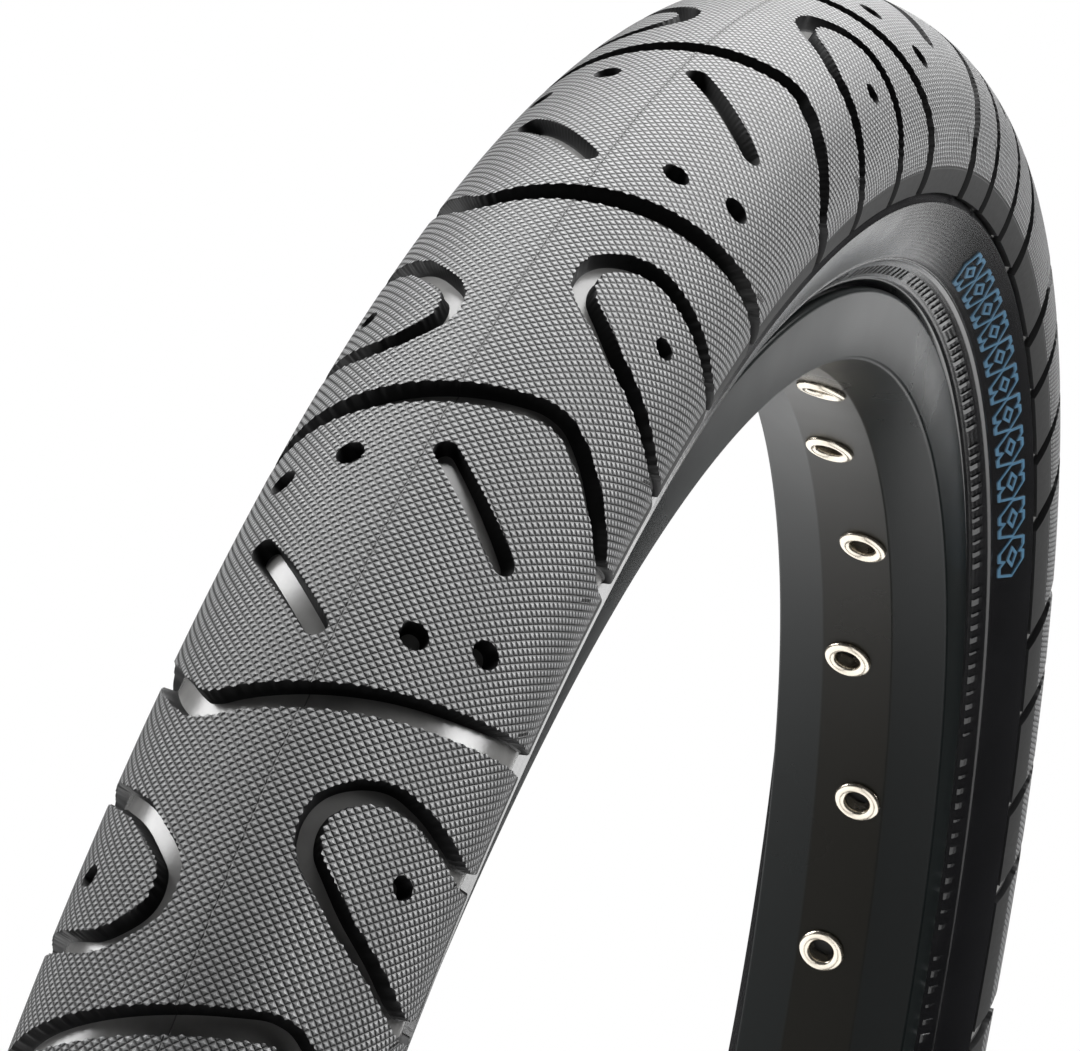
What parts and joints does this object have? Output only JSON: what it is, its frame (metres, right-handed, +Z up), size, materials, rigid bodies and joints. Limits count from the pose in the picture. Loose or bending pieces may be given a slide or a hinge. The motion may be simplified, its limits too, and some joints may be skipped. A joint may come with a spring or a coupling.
{
  "type": "bicycle tire on rim",
  "caption": "Slick street bicycle tire with a cut tread, fitted on a black box-edged rim with bright spoke eyelets; inner tube and capped valve inside.",
  "frame": {"origin": "wheel centre, on the axle line in the tire's middle plane", "axes": "+Y along the axle towards the left side, +Z up, +X forward; the valve is at the lowest point"},
  "size_m": [0.504, 0.0462, 0.504],
  "materials": {
    "tread_rubber": "knurled matte rubber",
    "sidewall_rubber": "satin moulded rubber",
    "casing_fabric": "rubbered nylon cord",
    "bead_steel": "bronzed wire bundle",
    "chafer_rubber": "matte",
    "rim_black": "satin black anodised",
    "key_aluminium": "plain extruded",
    "eyelet_nickel": "bright nickel plated",
    "tape_rubber": "smooth",
    "tube_butyl": "satin",
    "valve_rubber": "satin",
    "valve_brass": "turned",
    "core_seal": "matte",
    "core_steel": "drawn wire",
    "cap_plastic": "fine ribbed"
  },
  "bodies": {
    "wheel": {"tread": "tread_rubber", "sidewall_left": "sidewall_rubber", "sidewall_right": "sidewall_rubber", "casing_ply": "casing_fabric", "bead_wire_left": "bead_steel", "bead_wire_right": "bead_steel", "chafer_left": "chafer_rubber", "chafer_right": "chafer_rubber", "rim": "rim_black", "rim_joint_keys": "key_aluminium", "spoke_eyelets_left": "eyelet_nickel", "spoke_eyelets_right": "eyelet_nickel", "rim_tape": "tape_rubber", "inner_tube": "tube_butyl", "valve_base_patch": "valve_rubber", "valve_stem_sleeve": "valve_rubber", "valve_stem": "valve_brass", "valve_core_housing": "valve_brass", "valve_core_gasket": "core_seal", "valve_core_spring": "core_steel"},
    "valve_pin": {"valve_core_pin": "core_steel", "valve_core_cup": "valve_brass", "valve_core_cup_seal": "core_seal"},
    "cap_washer": {"valve_cap_seal": "core_seal"},
    "cap": {"valve_cap": "cap_plastic"}
  },
  "joints": [
    {"name": "valve_pin_press", "type": "slide", "parent": "wheel", "child": "valve_pin", "axis": [0, 0, -1], "range_m": [0, 0.0015], "stiffness_N_per_m": 900, "springref_m": -0.001, "deforming": ["valve_core_spring"]},
    {"name": "cap_lift", "type": "slide", "parent": "wheel", "child": "cap_washer", "axis": [0, 0, 1], "range_m": [0, 0.00953]},
    {"name": "cap_turn", "type": "hinge", "parent": "cap_washer", "child": "cap", "pos_m": [0, 0, -0.172], "axis": [0, 0, 1], "range_deg": [0, 4320]}
  ],
  "couplings": [
    {"joint": "cap_turn", "follows": "cap_lift", "rad_per_m": 7915.8}
  ]
}
